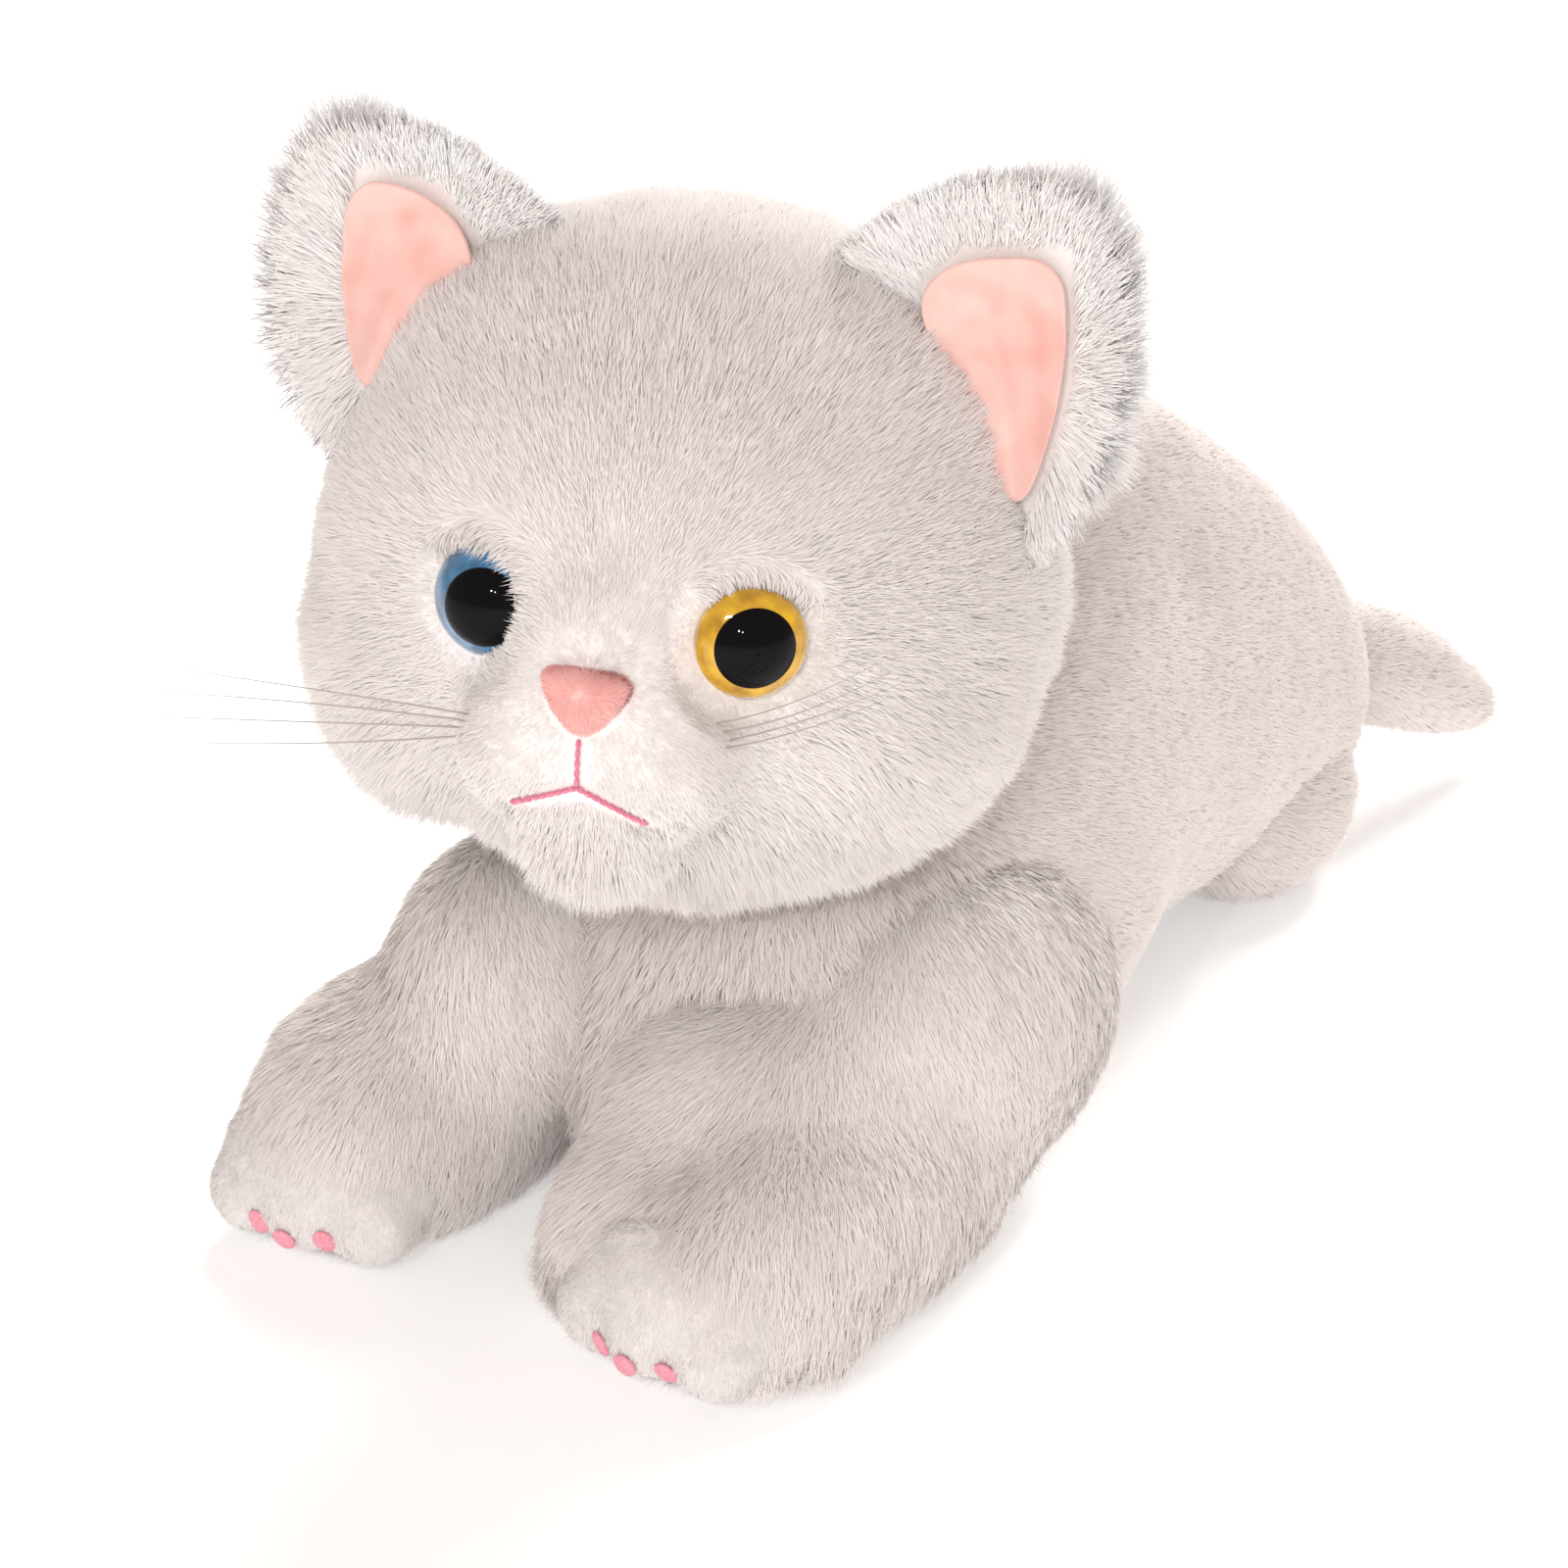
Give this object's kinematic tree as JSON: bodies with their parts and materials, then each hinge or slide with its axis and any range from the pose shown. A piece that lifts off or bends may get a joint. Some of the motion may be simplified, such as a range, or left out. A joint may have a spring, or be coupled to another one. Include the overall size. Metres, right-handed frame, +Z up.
{
  "type": "interactive plush pet",
  "caption": "Plush kitten lying on its belly, with a motor-turned head, a wagging tail, safety eyes and a battery box in the belly.",
  "frame": {"origin": "on the surface that the kitten lies on, under its belly on the middle line", "axes": "+Z up, the kitten faces -Y, its own left side is +X"},
  "size_m": [0.1486, 0.3465, 0.1927],
  "materials": {
    "plush": "long white pile",
    "short_plush": "short white pile",
    "fibre_fill": "loose polyester fibre",
    "pink_satin": "pink satin",
    "pink_velour": "short pink pile",
    "pink_thread": "embroidered",
    "rose_thread": "embroidered",
    "amber_eye": "gloss",
    "blue_eye": "gloss",
    "pupil_black": "gloss",
    "washer_nylon": "satin",
    "monofilament": "clear",
    "abs_white": "fine matt",
    "abs_grey": "fine matt",
    "abs_black": "fine matt",
    "acetal": "satin",
    "steel": "satin",
    "tin_plate": "plated",
    "brass": "satin",
    "cell_wrap": "gloss",
    "board_green": "solder mask",
    "chip_black": "matt",
    "speaker_black": "matt"
  },
  "bodies": {
    "torso": {"torso_plush": "plush", "torso_stuffing": "fibre_fill", "left_foreleg": "plush", "right_foreleg": "plush", "paw_soles": "short_plush", "left_hind_leg": "plush", "right_hind_leg": "plush", "toe_pads": "pink_thread", "battery_box": "abs_white", "door_hinge_pin": "steel", "battery_cells": "cell_wrap", "battery_contacts": "steel", "power_switch_body": "tin_plate", "chassis": "abs_grey", "chassis_screws": "steel", "main_board": "board_green", "board_chips": "chip_black", "speaker": "speaker_black", "speaker_bracket": "abs_grey", "back_switch_housing": "abs_grey", "back_switch_spring": "steel", "neck_bearing": "acetal", "head_drive_case": "abs_grey", "head_drive_cover": "abs_grey", "head_drive_motor": "tin_plate", "head_drive_axle": "steel", "tail_drive_case": "abs_grey", "tail_drive_cover": "abs_grey", "tail_drive_motor": "tin_plate", "tail_drive_axle": "steel"},
    "head": {"head_plush": "plush", "head_stuffing": "fibre_fill", "left_iris": "amber_eye", "right_iris": "blue_eye", "left_pupil": "pupil_black", "right_pupil": "pupil_black", "eye_washers": "washer_nylon", "nose": "pink_velour", "mouth_stitching": "rose_thread", "left_ear": "plush", "right_ear": "plush", "left_ear_lining": "pink_satin", "right_ear_lining": "pink_satin", "whiskers": "monofilament", "neck_post": "acetal", "neck_plate": "abs_grey", "head_drive_output_wheel": "acetal"},
    "tail": {"tail_plush": "plush", "tail_spine": "acetal", "tail_drive_output_wheel": "acetal"},
    "head_idler": {"head_drive_idler": "acetal"},
    "head_pinion": {"head_drive_pinion": "brass"},
    "tail_idler": {"tail_drive_idler": "acetal"},
    "tail_pinion": {"tail_drive_pinion": "brass"},
    "battery_door": {"battery_door": "abs_white", "door_screw": "steel"},
    "power_switch": {"power_switch_knob": "abs_black"},
    "back_button": {"back_button": "abs_black"}
  },
  "joints": [
    {"name": "head_turn", "type": "hinge", "parent": "torso", "child": "head", "pos_m": [-0.005, -0.062, 0.09], "axis": [0, 0, 1], "range_deg": [-51.6, 8.4]},
    {"name": "head_idler_spin", "type": "hinge", "parent": "torso", "child": "head_idler", "pos_m": [-0.005, -0.0436, 0.038], "axis": [0, 0, 1], "range_deg": [-31.24, 186.76]},
    {"name": "head_pinion_spin", "type": "hinge", "parent": "torso", "child": "head_pinion", "pos_m": [-0.005, -0.0252, 0.036], "axis": [0, 0, 1], "range_deg": [-670.74, 110.86]},
    {"name": "tail_wag", "type": "hinge", "parent": "torso", "child": "tail", "pos_m": [-0.002, 0.112, 0.043], "axis": [0, 0, 1], "range_deg": [-25, 25]},
    {"name": "tail_idler_spin", "type": "hinge", "parent": "torso", "child": "tail_idler", "pos_m": [-0.002, 0.0936, 0.036], "axis": [0, 0, 1], "range_deg": [-91, 91]},
    {"name": "tail_pinion_spin", "type": "hinge", "parent": "torso", "child": "tail_pinion", "pos_m": [-0.002, 0.0752, 0.034], "axis": [0, 0, 1], "range_deg": [-326, 326]},
    {"name": "battery_door_hinge", "type": "hinge", "parent": "torso", "child": "battery_door", "pos_m": [-0.005, -0.0095, 0.0037], "axis": [1, 0, 0], "range_deg": [0, 90]},
    {"name": "power_switch_slide", "type": "slide", "parent": "torso", "child": "power_switch", "axis": [1, 0, 0], "range_m": [0, 0.004]},
    {"name": "back_button_press", "type": "slide", "parent": "torso", "child": "back_button", "axis": [0, 0, -1], "range_m": [0, 0.002], "stiffness_N_per_m": 400, "deforming": ["back_switch_spring"]}
  ],
  "couplings": [
    {"joint": "head_idler_spin", "follows": "head_turn", "ratio": -3.6},
    {"joint": "head_pinion_spin", "follows": "head_turn", "ratio": 12.96},
    {"joint": "tail_idler_spin", "follows": "tail_wag", "ratio": -3.6},
    {"joint": "tail_pinion_spin", "follows": "tail_wag", "ratio": 12.96}
  ]
}
